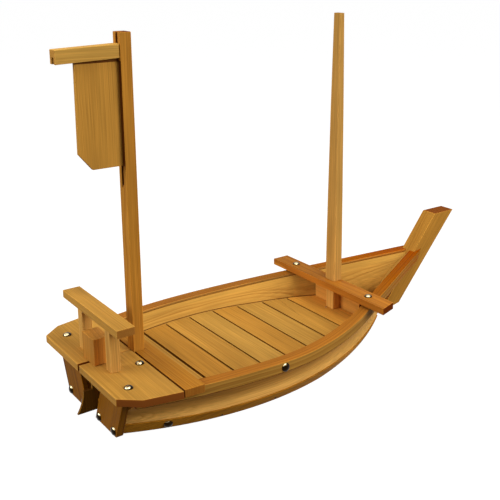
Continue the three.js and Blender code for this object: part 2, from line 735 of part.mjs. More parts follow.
// Crossbeam on the rails, with a hole for the fore mast
const crossbeamPort = gunwaleHalf(crossbeamMiddleX) + CROSSBEAM_PORT_OVER;
const crossbeamStbd = gunwaleHalf(crossbeamMiddleX) + CROSSBEAM_STBD_OVER;
const crossbeamShape = outline([
  [CROSSBEAM_AFT_X, -crossbeamStbd],
  [CROSSBEAM_FORE_X, -crossbeamStbd + CROSSBEAM_SKEW],
  [CROSSBEAM_FORE_X, crossbeamPort],
  [CROSSBEAM_AFT_X, crossbeamPort],
]);
const roomLong = TENON_LONG / 2 + RUNNING_GAP;
const roomWide = TENON_WIDE / 2 + RUNNING_GAP;
crossbeamShape.holes.push(
  outline([
    [FORE_MAST_X - roomLong, -roomWide],
    [FORE_MAST_X - roomLong, roomWide],
    [FORE_MAST_X + roomLong, roomWide],
    [FORE_MAST_X + roomLong, -roomWide],
  ]),
);
const crossbeamTackY = gunwaleHalf(crossbeamMiddleX) - CROSSBEAM_TACK_IN;
const crossbeamTacks = SIDES.map(([label, side]) => [
  label,
  new THREE.Vector3(crossbeamMiddleX, side * crossbeamTackY, CROSSBEAM_TOP),
]);
const crossbeam = cut(
  boardFromAbove(crossbeamShape, CROSSBEAM_BOTTOM, CROSSBEAM_TOP),
  ...crossbeamTacks.map(([, point]) => tackHole(point, UP)),
);
addPiece(foreRig, 'crossbeam', crossbeam, HONEY);

// Fore mast: a tenon down to the tray, a shoulder on the crossbeam, and four sides that taper to its top
function mastRing(z, long, wide) {
  const x = long / 2;
  const y = wide / 2;
  const easedX = x - FORE_MAST_EDGE;
  const easedY = y - FORE_MAST_EDGE;
  const corners = [
    [x, -easedY],
    [x, easedY],
    [easedX, y],
    [-easedX, y],
    [-x, easedY],
    [-x, -easedY],
    [-easedX, -y],
    [easedX, -y],
  ];
  return corners.map(([cx, cy]) => [cx, cy, z]);
}

const shoulderZ = CROSSBEAM_TOP + JOINT_GAP;
const foreMastRings = [
  mastRing(SLAT_TOP + JOINT_GAP, TENON_LONG, TENON_WIDE),
  mastRing(shoulderZ, TENON_LONG, TENON_WIDE),
];
for (let i = 0; i <= FORE_MAST_STEPS; i += 1) {
  const share = i / FORE_MAST_STEPS;
  const z = shoulderZ + share * (FORE_MAST_TOP - shoulderZ);
  const shrink = share ** FORE_MAST_TAPER;
  const long = FORE_MAST_FOOT_LONG - shrink * (FORE_MAST_FOOT_LONG - FORE_MAST_TOP_LONG);
  const wide = FORE_MAST_FOOT_WIDE - shrink * (FORE_MAST_FOOT_WIDE - FORE_MAST_TOP_WIDE);
  foreMastRings.push(mastRing(z, long, wide));
}
const foreMast = loft(foreMastRings, ([x, y]) => [x, y]);
addPiece(foreRig, 'fore_mast', foreMast, PALE).position.set(FORE_MAST_X, 0, 0);

// The room inside the side planks, which slats and bulkhead are cut to
function holdSection(x) {
  const wall = wallPoints(x).map(([y, z]) => [y - WALL_GAP, z]);
  const [topY] = wall[wall.length - 1];
  const port = [...wall, [topY, sheer(x) + RAIL_LIP]];
  return [...port, ...port.map(([y, z]) => [-y, z]).reverse()];
}

const hold = hullLoft(holdSection, HULL_AFT_X, BULKHEAD_FORE_X + BULKHEAD_THICK);

// Half width between the walls at a height
function holdHalf(x, z) {
  const wall = wallPoints(x);
  const above = wall.findIndex((point) => point[1] > z);
  const [low, high] = [wall[above - 1], wall[above]];
  return THREE.MathUtils.mapLinear(z, low[1], high[1], low[0], high[0]) - WALL_GAP;
}

// Bulkhead from the bottom board to the crossbeam, with upright ends above the tray
const bulkheadHalf = holdHalf(BULKHEAD_AFT_X, SLAT_TOP);
const bulkheadBlock = block(
  [BULKHEAD_AFT_X, BULKHEAD_FORE_X],
  [-bulkheadHalf, bulkheadHalf],
  [BOTTOM_THICK + JOINT_GAP, CROSSBEAM_BOTTOM - JOINT_GAP],
);
addPiece(foreRig, 'bulkhead', common(bulkheadBlock, hold), HONEY);

// Slats across the hold on two bearers
for (let i = 0; i < SLAT_COUNT; i += 1) {
  const aft = FIRST_SLAT_X + i * SLAT_PITCH + SLAT_GAP / 2;
  const gap = i === 0 ? FIRST_SLAT_GAP : SLAT_GAP;
  const fore = i === SLAT_COUNT - 1 ? TRAY_FORE_X : aft + SLAT_PITCH - gap;
  const slat = block([aft, fore], [-WIDEST_HALF, WIDEST_HALF], [SLAT_BOTTOM, SLAT_TOP]);
  addPiece(tray, `tray_slat_${i + 1}`, common(slat, hold), GOLDEN);
}
for (const [label, side] of SIDES) {
  const middle = side * BEARER_Y;
  const bearer = block(
    [FIRST_SLAT_X, TRAY_FORE_X],
    [middle - BEARER_WIDTH / 2, middle + BEARER_WIDTH / 2],
    [BOTTOM_THICK, SLAT_BOTTOM],
  );
  addPiece(tray, `tray_bearer_${label}`, common(bearer, hold), PALE);
}

// Tacks
for (const [label, side] of SIDES) {
  for (const [place, point] of deckTacks) {
    addTack(`tack_deck_${place}_${label}`, toSide(point, side), UP);
  }
  for (const [place, point] of transomTacks) {
    addTack(`tack_transom_${place}_${label}`, toSide(point, side), ASTERN);
  }
  addTack(`tack_ledge_${label}`, toSide(ledgePoint, side), toSide(ledgeNormal, side));
  addTack(`tack_rail_${label}`, toSide(railPoint, side), toSide(railNormal, side));
}
for (const [label, point] of crossbeamTacks) {
  addTack(`tack_crossbeam_${label}`, point, UP);
}

export default boat;
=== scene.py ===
# %% [markdown]
# # A wooden sushi boat
# A sushi boat is a serving tray built like a small sailing boat. Its hull is joined from flat boards,
# bent rails and hollowed side planks, and everything has a clear satin varnish. The CAD model already has
# each board at its size and place, so this lesson dresses the boards: it eases their sawn edges, gives
# the timber its grain, drives in the brass tacks and lights the boat as in a small studio.

# %% Load the CAD model
import json
import math
import random

import bmesh
import bpy
from mathutils import Matrix, Vector
from mathutils.bvhtree import BVHTree


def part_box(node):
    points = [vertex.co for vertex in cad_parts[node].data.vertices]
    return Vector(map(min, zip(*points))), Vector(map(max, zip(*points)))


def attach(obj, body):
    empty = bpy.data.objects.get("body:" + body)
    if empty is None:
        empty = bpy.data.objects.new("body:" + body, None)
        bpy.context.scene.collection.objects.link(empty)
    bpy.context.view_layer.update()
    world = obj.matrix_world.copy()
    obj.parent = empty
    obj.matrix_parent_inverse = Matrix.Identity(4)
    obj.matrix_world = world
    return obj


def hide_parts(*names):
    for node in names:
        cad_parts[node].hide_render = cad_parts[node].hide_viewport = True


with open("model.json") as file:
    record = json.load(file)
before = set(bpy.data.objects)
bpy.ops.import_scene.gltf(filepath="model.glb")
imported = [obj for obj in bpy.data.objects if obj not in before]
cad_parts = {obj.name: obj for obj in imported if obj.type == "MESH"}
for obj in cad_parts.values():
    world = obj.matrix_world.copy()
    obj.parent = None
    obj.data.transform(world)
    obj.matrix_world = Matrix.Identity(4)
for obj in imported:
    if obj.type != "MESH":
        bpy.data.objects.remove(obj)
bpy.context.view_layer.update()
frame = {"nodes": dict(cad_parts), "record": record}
MM = 0.001
print("CAD nodes:", len(frame["nodes"]))

# %% [markdown]
# ## Two small helpers
# Colours are easiest to read as the hex values of a paint program, but shaders work with linear light, so
# one function converts them. Node trees are long to write by hand, so a second function adds a node, sets
# its options and links or fills its inputs in one call.

# %% Colour and node helpers


def linear(hex_colour):
    """Turns an sRGB hex colour into linear RGBA."""
    channels = [int(hex_colour[i : i + 2], 16) / 255 for i in (1, 3, 5)]
    bright = [c / 12.92 if c <= 0.04045 else ((c + 0.055) / 1.055) ** 2.4 for c in channels]
    return (*bright, 1.0)


def add_node(tree, kind, inputs=None, **settings):
    """Adds a node with its settings, and fills or links its inputs by name or number."""
    node = tree.nodes.new(kind)
    for name, value in settings.items():
        setattr(node, name, value)
    for name, value in (inputs or {}).items():
        if isinstance(value, bpy.types.NodeSocket):
            tree.links.new(value, node.inputs[name])
        else:
            node.inputs[name].default_value = value
    return node


WHITE = linear("#FFFFFF")
print("white in linear light:", WHITE)

# %% [markdown]
# ## Camera
# The photograph looks down on the starboard quarter from a little over a metre away. The camera's place,
# turn and focal length come from fitting the straight edges of deck, bench, masts and slats. A small
# shift keeps the masts upright in the frame, as a product photographer's lens does.

# %% Camera
CAMERA_PLACE = (-0.6199, -0.7997, 0.4945)
CAMERA_YAW = math.radians(36.28)
CAMERA_PITCH = math.radians(15.1)
SENSOR_WIDTH = 36.0
FOCAL_LENGTH = 59.0
LENS_SHIFT = (-0.036, -0.12)

camera_data = bpy.data.cameras.new("photo_camera")
camera_data.sensor_width = SENSOR_WIDTH
camera_data.lens = FOCAL_LENGTH
camera_data.shift_x, camera_data.shift_y = LENS_SHIFT
camera = bpy.data.objects.new("photo_camera", camera_data)
camera.location = CAMERA_PLACE
camera.rotation_euler = (math.pi / 2 - CAMERA_PITCH, 0, -CAMERA_YAW)
bpy.context.scene.collection.objects.link(camera)
bpy.context.scene.camera = camera
print("camera lens", camera_data.lens, "mm")

# %% [markdown]
# ## Studio
# The boat stands on seamless white paper. More light would bleach the timber, so the background is white
# by the kind of ray instead: the world is white to the camera and in reflections, and gives less light
# than that to the boat. The paper is white to the camera too, but sends little light back up, so that
# faces which look down stay dark, as they do in the photograph.

# %% World
AMBIENT = 0.3

bpy.context.scene.view_settings.view_transform = "Standard"


def seen_directly(tree):
    """A socket that is 1 for rays that show the background to the camera, in gloss or through glass."""
    path = add_node(tree, "ShaderNodeLightPath").outputs
    rays = path["Is Camera Ray"]
    for kind in ("Is Glossy Ray", "Is Transmission Ray"):
        rays = add_node(tree, "ShaderNodeMath", {0: rays, 1: path[kind]}, operation="MAXIMUM").outputs[0]
    return rays


world = bpy.data.worlds.new("white_studio")
world.use_nodes = True
bpy.context.scene.world = world
sky = world.node_tree
sky.nodes.clear()
sky_light = {"Value": seen_directly(sky), "To Min": AMBIENT, "To Max": 1.0}
sky_strength = add_node(sky, "ShaderNodeMapRange", sky_light).outputs[0]
backdrop = add_node(sky, "ShaderNodeBackground", {"Color": WHITE, "Strength": sky_strength})
add_node(sky, "ShaderNodeOutputWorld", {"Surface": backdrop.outputs[0]})
print("the world lights the boat with", AMBIENT, "of its white")

# %% White paper
# Seamless matte paper gives the eye an even white with only a faint shadow below the boat
PAPER_BOUNCE = linear("#4A4A48")
PAPER_GLOW = 1.15
FLOOR_SHADOW = 0.18

paper = bpy.data.materials.new("white_paper")
paper.use_nodes = True
sheet = paper.node_tree
sheet.nodes.clear()
seen = seen_directly(sheet)
shade = add_node(sheet, "ShaderNodeMix", {0: seen, 6: PAPER_BOUNCE, 7: WHITE}, data_type="RGBA").outputs[2]
matte = add_node(sheet, "ShaderNodeBsdfDiffuse", {"Color": shade}).outputs[0]
glow = add_node(sheet, "ShaderNodeEmission", {"Color": WHITE, "Strength": PAPER_GLOW}).outputs[0]
glow_share = add_node(sheet, "ShaderNodeMapRange", {"Value": seen, "To Max": 1.0 - FLOOR_SHADOW}).outputs[0]
paper_mix = add_node(sheet, "ShaderNodeMixShader", {0: glow_share, 1: matte, 2: glow})
add_node(sheet, "ShaderNodeOutputMaterial", {"Surface": paper_mix.outputs[0]})
print("paper:", paper.name)

# %% Floor
FLOOR_SIZE = 40.0
FLOOR_DROP = 0.2 * MM

floor_mesh = bpy.data.meshes.new("floor")
floor_bm = bmesh.new()
bmesh.ops.create_grid(floor_bm, x_segments=1, y_segments=1, size=FLOOR_SIZE)
bmesh.ops.translate(floor_bm, verts=floor_bm.verts, vec=(0, 0, -FLOOR_DROP))
floor_bm.to_mesh(floor_mesh)
floor_bm.free()
floor_mesh.materials.append(paper)
floor = bpy.data.objects.new("floor", floor_mesh)
bpy.context.scene.collection.objects.link(floor)
print("floor", 2 * FLOOR_SIZE, "m wide")

# %% [markdown]
# ## Lamps
# One large softbox hangs over the boat, so that tops and the hollow of the hull are bright and upright
# faces lie in soft shade. Two more stand to the left and to the right of the camera and keep that shade
# open. A small bare lamp draws the white glints on the tacks. Sun lamps would be simpler, but their
# shadows have hard edges.

# %% Softboxes
LOW_AIM = (-0.05, 0, 0.1)
HIGH_AIM = (-0.05, 0, 0.15)


def softbox(name, place, target, size, power):
    """A square area lamp at a place, aimed at a target."""
    lamp = bpy.data.lights.new(name, "AREA")
    lamp.size = size
    lamp.energy = power
    lamp_object = bpy.data.objects.new(name, lamp)
    lamp_object.location = place
    lamp_object.rotation_euler = (Vector(target) - Vector(place)).to_track_quat("-Z", "Y").to_euler()
    bpy.context.scene.collection.objects.link(lamp_object)


softbox("top_softbox", place=(-0.15, -0.15, 1.9), target=LOW_AIM, size=1.3, power=9.5)
softbox("left_softbox", place=(-1.5, 0.5, 0.85), target=HIGH_AIM, size=1.0, power=17.0)
softbox("right_softbox", place=(0.55, -1.45, 1.05), target=HIGH_AIM, size=1.0, power=22.0)
softbox("glint_lamp", place=(0.0, -0.5, 1.7), target=LOW_AIM, size=0.16, power=2.0)

# %% [markdown]
# ## Growth rings
# Boats like this are sawn from a light conifer. Early wood is pale gold and late wood draws thin darker
# lines, a few millimetres apart. A picture of wood would need a different unwrapping for each board, so
# the grain is worked out in space instead: rings round a pith that lies somewhere outside the board. Each
# board carries its own grain coordinates in millimetres as an attribute, along, across and through the
# board, so that the pattern follows bent planks as real grain does.

# %% Rings round the pith
RING_MM = 3.4  # drawn a little wider than real growth rings, so that it shows at this size
WANDER_MM = (160, 40)  # along and across the fibres, as in the other sizes of patterns
WANDER_REACH_MM = 9
NOISE_MIDDLE = (0.5, 0.5, 0.5)
WIDTH_CHANGE = 4.0  # years by which a run of wide or narrow rings is ahead of an even one
YEARS_PER_CHANGE = 2.5
LATE_WOOD = (0.2, 0.9)  # where in a year the line begins and is darkest
FAINTEST_YEAR = 0.2


def scaled(tree, vector, size):
    """The grain coordinates divided by a length along the fibres and one across them, in millimetres."""
    along, across = size
    shares = (1 / along, 1 / across, 1 / across)
    return add_node(tree, "ShaderNodeVectorMath", {0: vector, 1: shares}, operation="MULTIPLY").outputs[0]


def count_years(tree, grain):
    """A socket with the number of years from the pith, with a wandering pith and uneven years."""
    slow = {0: scaled(tree, grain, WANDER_MM), "Scale": 1.0, "Detail": 2.0}
    wander = add_node(tree, "ShaderNodeTexNoise", slow).outputs[1]
    push = add_node(tree, "ShaderNodeVectorMath", {0: wander, 1: NOISE_MIDDLE}, operation="SUBTRACT")
    reach = {0: push.outputs[0], 1: (0, WANDER_REACH_MM, WANDER_REACH_MM), 2: grain}
    bent = add_node(tree, "ShaderNodeVectorMath", reach, operation="MULTIPLY_ADD").outputs[0]
    flat = add_node(tree, "ShaderNodeVectorMath", {0: bent, 1: (0, 1, 1)}, operation="MULTIPLY").outputs[0]
    radius = add_node(tree, "ShaderNodeVectorMath", {0: flat}, operation="LENGTH").outputs["Value"]
    years = add_node(tree, "ShaderNodeMath", {0: radius, 1: RING_MM}, operation="DIVIDE").outputs[0]
    change = {"W": years, "Scale": 1 / YEARS_PER_CHANGE, "Detail": 1.0}
    climate = add_node(tree, "ShaderNodeTexNoise", change, noise_dimensions="1D").outputs[0]
    ahead = {0: climate, 1: WIDTH_CHANGE, 2: years}
    return add_node(tree, "ShaderNodeMath", ahead, operation="MULTIPLY_ADD").outputs[0]


def late_wood(tree, grain):
    """A socket that is high on the dark lines of late wood, which are fainter in some years."""
    years = count_years(tree, grain)
    season = add_node(tree, "ShaderNodeMath", {0: years}, operation="FRACT").outputs[0]
    number = add_node(tree, "ShaderNodeMath", {0: years}, operation="FLOOR").outputs[0]
    begin, darkest = LATE_WOOD
    growth = {0: season, 1: begin, 2: darkest}
    rise = add_node(tree, "ShaderNodeMapRange", growth, interpolation_type="SMOOTHSTEP").outputs[0]
    fall = add_node(tree, "ShaderNodeMapRange", {0: season, 1: darkest, 2: 1.0, 3: 1.0, 4: 0.0}).outputs[0]
    line = add_node(tree, "ShaderNodeMath", {0: rise, 1: fall}, operation="MULTIPLY").outputs[0]
    luck = add_node(tree, "ShaderNodeTexWhiteNoise", {"W": number}, noise_dimensions="1D").outputs["Value"]
    weight = add_node(tree, "ShaderNodeMapRange", {0: luck, 3: FAINTEST_YEAR, 4: 1.0}).outputs[0]
    return add_node(tree, "ShaderNodeMath", {0: line, 1: weight}, operation="MULTIPLY").outputs[0]


print("rings", RING_MM, "mm apart")

# %% [markdown]
# ## Varnished timber
# Varnish warms the colour of the wood and evens it out, and on this boat it is rubbed down to a satin, so
# hardly any reflection shows. Besides its rings a board shows fine fibres, slow patches, and a tone of
# its own, because the boards come from different logs. A second attribute gives the board's tone, warmth
# and figure, which is how strong its lines are. A third one tells end grain, rubbed edges with wear and a
# painted highlight, and painted shade in joints, gaps and corners from the planed faces.

# %% Colour of a planed face
FIBRE_MM = (90, 1.1)
PATCH_MM = (120, 22)
NOISE_RANGE = {1: 0.3, 2: 0.7}  # noise seldom leaves this range
BOARD_RANGE = {1: -1.0, 2: 1.0}
FIBRE_SHADE = {3: 0.8, 4: 1.16}
PATCH_SHADE = {3: 0.88, 4: 1.12}
TONE_SHADE = {3: 0.4, 4: 1.6}
WARM_HUE = {3: 0.53, 4: 0.47}
WARM_DEPTH = {3: 0.89, 4: 1.11}


def fibres(tree, grain):
    """A socket with the fine fibres along the grain."""
    fine = {0: scaled(tree, grain, FIBRE_MM), "Scale": 1.0, "Detail": 3.0, "Roughness": 0.6}
    return add_node(tree, "ShaderNodeTexNoise", fine).outputs[0]


def planed_colour(tree, grain, fibre, tone, warmth, wood):
    """The colour of the wood with its fibres, slow patches and the board's own tone and warmth."""
    slow = {0: scaled(tree, grain, PATCH_MM), "Scale": 1.0, "Detail": 2.0}
    patch = add_node(tree, "ShaderNodeTexNoise", slow).outputs[0]
    level = add_node(tree, "ShaderNodeMapRange", {0: fibre, **NOISE_RANGE, **FIBRE_SHADE}).outputs[0]
    drift = add_node(tree, "ShaderNodeMapRange", {0: patch, **NOISE_RANGE, **PATCH_SHADE}).outputs[0]
    mood = add_node(tree, "ShaderNodeMapRange", {0: tone, **BOARD_RANGE, **TONE_SHADE}).outputs[0]
    for change in (drift, mood):
        level = add_node(tree, "ShaderNodeMath", {0: level, 1: change}, operation="MULTIPLY").outputs[0]
    hue = add_node(tree, "ShaderNodeMapRange", {0: warmth, **BOARD_RANGE, **WARM_HUE}).outputs[0]
    depth = add_node(tree, "ShaderNodeMapRange", {0: warmth, **BOARD_RANGE, **WARM_DEPTH}).outputs[0]
    paint = {"Hue": hue, "Saturation": depth, "Value": level, "Color": wood}
    return add_node(tree, "ShaderNodeHueSaturation", paint).outputs[0]


print("fibres", FIBRE_MM[1], "mm wide")

# %% Timber material
# rubbed edges are painted lighter: partly wear, partly a painted highlight where they catch the lamps
EDGE_WEAR_AND_HIGHLIGHT = 1.25
# the colour of painted shade in joints, gaps, corners and on faces that look down
PAINTED_SHADE_COLOUR = linear("#52230A")
SATIN = {3: 0.42, 4: 0.6}  # roughness of the varnish between and on the fibres
SAWN_ROUGHNESS = 0.4
FIBRE_RELIEF = 0.2 * MM
RELIEF_STRENGTH = 0.12
VARNISH_IOR = 1.5
RUBBED_DOWN = 0.02  # a low specular level, because the photograph shows next to no gloss on the timber


def varnished_timber(name, early, late, end):
    """A varnished softwood: early and late wood, and the darker end grain, as hex colours."""
    material = bpy.data.materials.new(name)
    material.use_nodes = True
    tree = material.node_tree
    tree.nodes.clear()
    grain = add_node(tree, "ShaderNodeAttribute", attribute_name="grain").outputs["Vector"]
    board = add_node(tree, "ShaderNodeAttribute", attribute_name="board").outputs["Vector"]
    tone, warmth, figure = add_node(tree, "ShaderNodeSeparateXYZ", {0: board}).outputs
    cut = add_node(tree, "ShaderNodeAttribute", attribute_name="cut").outputs["Vector"]
    sawn_end, arris, painted_shade = add_node(tree, "ShaderNodeSeparateXYZ", {0: cut}).outputs

    lines = {0: late_wood(tree, grain), 1: figure}
    late_share = add_node(tree, "ShaderNodeMath", lines, operation="MULTIPLY").outputs[0]
    rings = {0: late_share, 6: linear(early), 7: linear(late)}
    wood = add_node(tree, "ShaderNodeMix", rings, data_type="RGBA").outputs[2]
    fibre = fibres(tree, grain)
    planed = planed_colour(tree, grain, fibre, tone, warmth, wood)

    # End grain drinks the colour, edges get wear and a painted highlight, hollows get painted shade
    sawn = {0: sawn_end, 6: planed, 7: linear(end)}
    ends = add_node(tree, "ShaderNodeMix", sawn, data_type="RGBA").outputs[2]
    edge_brightening = add_node(tree, "ShaderNodeMapRange", {0: arris, 3: 1.0, 4: EDGE_WEAR_AND_HIGHLIGHT}).outputs[0]
    worn_and_lit = add_node(tree, "ShaderNodeHueSaturation", {"Value": edge_brightening, "Color": ends}).outputs[0]
    colour = add_node(tree, "ShaderNodeMix", {0: painted_shade, 6: worn_and_lit, 7: PAINTED_SHADE_COLOUR}, data_type="RGBA").outputs[2]

    # The varnish lies smooth between the fibres, and sinks into the sawn ends
    satin = add_node(tree, "ShaderNodeMapRange", {0: fibre, **SATIN}).outputs[0]
    sunk = {0: sawn_end, 1: SAWN_ROUGHNESS, 2: satin}
    roughness = add_node(tree, "ShaderNodeMath", sunk, operation="MULTIPLY_ADD").outputs[0]
    raised = {"Strength": RELIEF_STRENGTH, "Distance": FIBRE_RELIEF, "Height": fibre}
    relief = add_node(tree, "ShaderNodeBump", raised).outputs[0]
    surface = {"Base Color": colour, "Roughness": roughness, "Normal": relief}
    constant = {"IOR": VARNISH_IOR, "Specular IOR Level": RUBBED_DOWN}
    varnish = add_node(tree, "ShaderNodeBsdfPrincipled", {**surface, **constant})
    add_node(tree, "ShaderNodeOutputMaterial", {"Surface": varnish.outputs[0]})
    return material


TIMBER = {
    # Planed cypress under clear varnish: straw gold with soft brown lines, on most of the boat
    "golden_wood": varnished_timber("varnished_cypress_golden", "#C08C3C", "#92581C", "#86491A"),
    # The same from the heart of the log: orange brown with strong lines, on rails and beams
    "honey_wood": varnished_timber("varnished_cypress_honey", "#B87426", "#7E4211", "#6A2E08"),
    # Planed cedar under clear varnish: deep amber with dark lines, low on hull and rudder
    "amber_wood": varnished_timber("varnished_cedar_amber", "#A26E22", "#5A300A", "#54300C"),
    # Cypress sapwood under clear varnish: pale and even, on posts, battens, fore mast and planks
    "pale_wood": varnished_timber("varnished_cypress_pale", "#CB984C", "#A6702C", "#94602A"),
}
print("timber finishes:", list(TIMBER))

# %% [markdown]
# ## Easing the edges
# On a real boat each board is sawn, planed and then rubbed down with paper, so no edge is razor sharp.
# Modelling every board again would only repeat the CAD model, so a copy of each CAD solid is merged into
# clean faces, and the bevel operator rounds its outer corners by a little under a millimetre. Corners
# that are closed by a neighbour stay sharp. Weighted normals keep the planed faces flat between the
# rounded edges.

# %% Edge helpers
EASED = 0.8 * MM
FINELY_EASED = 0.4 * MM
SHARP_ANGLE = math.radians(28)
CREASE_ANGLE = math.radians(40)
FLAT_ANGLE = math.radians(0.25)
MERGE = 0.05 * MM
SHORT = 0.9 * MM
SLIVER = 0.01 * MM


def merged_copy(node):
    """A bmesh of a CAD node with its loose triangles merged and its flat faces joined."""
    bm = bmesh.new()
    bm.from_mesh(frame["nodes"][node].data)
    bmesh.ops.remove_doubles(bm, verts=bm.verts, dist=MERGE)
    bmesh.ops.dissolve_limit(bm, angle_limit=FLAT_ANGLE, verts=bm.verts, edges=bm.edges)
    return bm


def ease_edges(bm, radius, sharp):
    """Rounds the outer corners of a board, apart from edges that stay sharp."""
    corners = [e for e in bm.edges if e.is_manifold and e.calc_length() > SHORT]
    corners = [e for e in corners if e.calc_face_angle_signed(0) > SHARP_ANGLE]
    if sharp:
        corners = [e for e in corners if not sharp(e)]
    arris = bm.faces.layers.float.new("arris")
    rounded = bmesh.ops.bevel(
        bm,
        geom=corners,
        offset=radius,
        offset_type="OFFSET",
        segments=2,
        profile=0.5,
        affect="EDGES",
        material=-1,
        clamp_overlap=False,
    )
    for face in rounded["faces"]:
        face[arris] = 1.0
    for edge in bm.edges:
        edge.smooth = not edge.is_manifold or edge.calc_face_angle(0) < CREASE_ANGLE


def score(bm, heights):
    """Cuts level lines into a board, which bound a strip of painted shade, and removes the slivers that cuts
    leave.
    """
    for height in heights:
        everything = bm.verts[:] + bm.edges[:] + bm.faces[:]
        bmesh.ops.bisect_plane(bm, geom=everything, plane_co=(0, 0, height), plane_no=(0, 0, 1))
    bmesh.ops.remove_doubles(bm, verts=bm.verts, dist=SLIVER)
    bmesh.ops.dissolve_degenerate(bm, edges=bm.edges, dist=SLIVER)


print("edges are eased by", EASED / MM, "mm")

# %% [markdown]
# ## Grain and painted shade
# The timber's shader reads three attributes, which are written here. A board's place in its log is drawn
# by lot, with a fixed seed so that the boat is the same on each run, or given as the place of the pith
# where the grain should look a certain way. The tone may differ from side to side; where it does, this
# is mostly painted light and shade, which lightens faces that lie in shade and darkens others.

# %% Grain helpers
SAWN = (0.4, 0.75)  # how squarely a face cuts the fibres, where end grain begins and where it is full
NEARLY_UPRIGHT = 0.9


def straight_grain(along):
    """Grain coordinates of a straight board, in millimetres, for a direction along its fibres."""
    across = along.orthogonal() if abs(along.z) > NEARLY_UPRIGHT else along.cross(Vector((0, 0, 1)))
    across.normalize()
    through = along.cross(across)
    return lambda p: Vector((p.dot(along), p.dot(across), p.dot(through))) / MM


def write_grain(bm, coordinates, where, board, sides):
    """Stores where each point lies in its log, and the board's tone, warmth and figure there."""
    bm.normal_update()
    grain = bm.verts.layers.float_vector.new("grain")
    character = bm.verts.layers.float_vector.new("board")
    for vert in bm.verts:
        vert[grain] = coordinates(vert.co) + where
        vert[character] = Vector(board) + Vector(sides(vert) if sides else (0, 0, 0))


def write_cuts(bm, along, end, shaded_faces, shade_depth):
    """Marks end grain, rubbed edges, which get wear and a painted highlight, and the faces that get painted
    shade.
    """
    cut = bm.faces.layers.float_vector.new("cut")
    arris = bm.faces.layers.float["arris"]
    bm.normal_update()
    begin, full = SAWN
    for face in bm.faces:
        square = abs(face.normal.dot(along))
        sawn = end * min(max((square - begin) / (full - begin), 0.0), 1.0)
        joint = shade_depth if shaded_faces and shaded_faces(face) else 0.0
        face[cut] = Vector((sawn, face[arris], joint))


print("end grain is full from a cosine of", SAWN[1])

# %% Dress a board
LOG_LENGTH_MM = 4000
PITH_ACROSS_MM = (-90, 90)
PITH_DEPTH_MM = (50, 110)
PAINTED_SHADE_DEPTH = 0.85
LENGTHWISE = (1, 0, 0)
ATHWART = (0, 1, 0)
UPRIGHT = (0, 0, 1)
FORE = Vector((1, 0, 0))
AFT = Vector((-1, 0, 0))
DOWN = Vector((0, 0, -1))
LOOKS = 0.5  # the least cosine at which a face counts as looking in a direction
LOOKS_DOWN = 0.6  # more for boards that flare, so that their sides get no painted shade

node_body = {n: body for body, nodes in frame["record"]["behaviour"]["bodies"].items() for n in nodes}
node_slot = {s["node"]: s["material_slot"] for s in frame["record"]["subparts"]}
dice = random.Random(7)


def finish_piece(bm, name, node, material):
    """Makes an object of a bmesh, which stands for a CAD node and moves with its body."""
    mesh = bpy.data.meshes.new(name)
    bm.to_mesh(mesh)
    bm.free()
    mesh.materials.append(material)
    for polygon in mesh.polygons:
        polygon.use_smooth = True
    piece = bpy.data.objects.new(name, mesh)
    bpy.context.scene.collection.objects.link(piece)
    normals = piece.modifiers.new("planed_faces", "WEIGHTED_NORMAL")
    normals.keep_sharp = True
    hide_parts(node)
    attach(piece, node_body[node])
    return piece


def dress(
    node,
    along,
    tone=0.0,
    warmth=0.0,
    figure=0.5,
    sides=None,
    coordinates=None,
    pith=None,
    fitted=None,
    radius=EASED,
    sharp=None,
    scored=(),
    end=1.0,
    shaded_faces=None,
    shade_depth=PAINTED_SHADE_DEPTH,
):
    """Turns a CAD node into a finished board with its grain along a direction."""
    along = Vector(along).normalized()
    place = dice.uniform(0, LOG_LENGTH_MM)
    drawn = (dice.uniform(*PITH_ACROSS_MM), dice.uniform(*PITH_DEPTH_MM))
    where = Vector((place, *(pith or drawn)))
    bm = merged_copy(node)
    if fitted:
        fitted(bm)
    ease_edges(bm, radius, sharp)
    score(bm, scored)
    write_grain(bm, coordinates or straight_grain(along), where, (tone, warmth, figure), sides)
    write_cuts(bm, along, end, shaded_faces, shade_depth)
    return finish_piece(bm, f"{node}_board", node, TIMBER[node_slot[node]])


def towards(direction, least=LOOKS):
    """A test for the faces of a board that look in a direction."""
    return lambda face: face.normal.dot(direction) > least


print("boards move with:", sorted(set(node_body.values())))

# %% [markdown]
# ## Tray
# The food lies on eight slats across the hull. They are cut from different boards, so their tones differ,
# and their straight fine grain runs from side to side. Two battens carry them and show as lighter spots
# in the gaps. The faces that look fore and aft, the sides of the gaps, get painted shade, and the last
# slat, which lies in the crossbeam's shadow, is painted lighter.

# %% Slats and bearers
# the last slat's high tone is painted light, which lifts it out of the crossbeam's shadow
SLAT_TONES = [0.0, -0.1, -0.05, -0.05, -0.05, -0.05, 0.05, 0.75]
SLAT_WARMTH = [0.0, 0.2, 0.05, -0.1, 0.15, -0.1, 0.0, 0.2]
SLAT_PITH = 140
FIRST_DEPTH = 30
DEPTH_STEP = 9
SIDES = {"port": 1, "stbd": -1}  # the two sides of the boat, with the sign of y there

for number, (tone, warmth) in enumerate(zip(SLAT_TONES, SLAT_WARMTH), start=1):
    side = 1 if number % 2 else -1
    dress(
        f"tray_slat_{number}",
        ATHWART,
        tone,
        warmth,
        figure=0.35,
        pith=(side * SLAT_PITH, FIRST_DEPTH + DEPTH_STEP * number),
        radius=FINELY_EASED,
        # painted shade on the faces that look into the gaps
        shaded_faces=lambda f: abs(f.normal.x) > LOOKS,
        shade_depth=0.6,
    )
for side in SIDES:
    dress(f"tray_bearer_{side}", LENGTHWISE, tone=0.2)
print("slats:", len(SLAT_TONES))

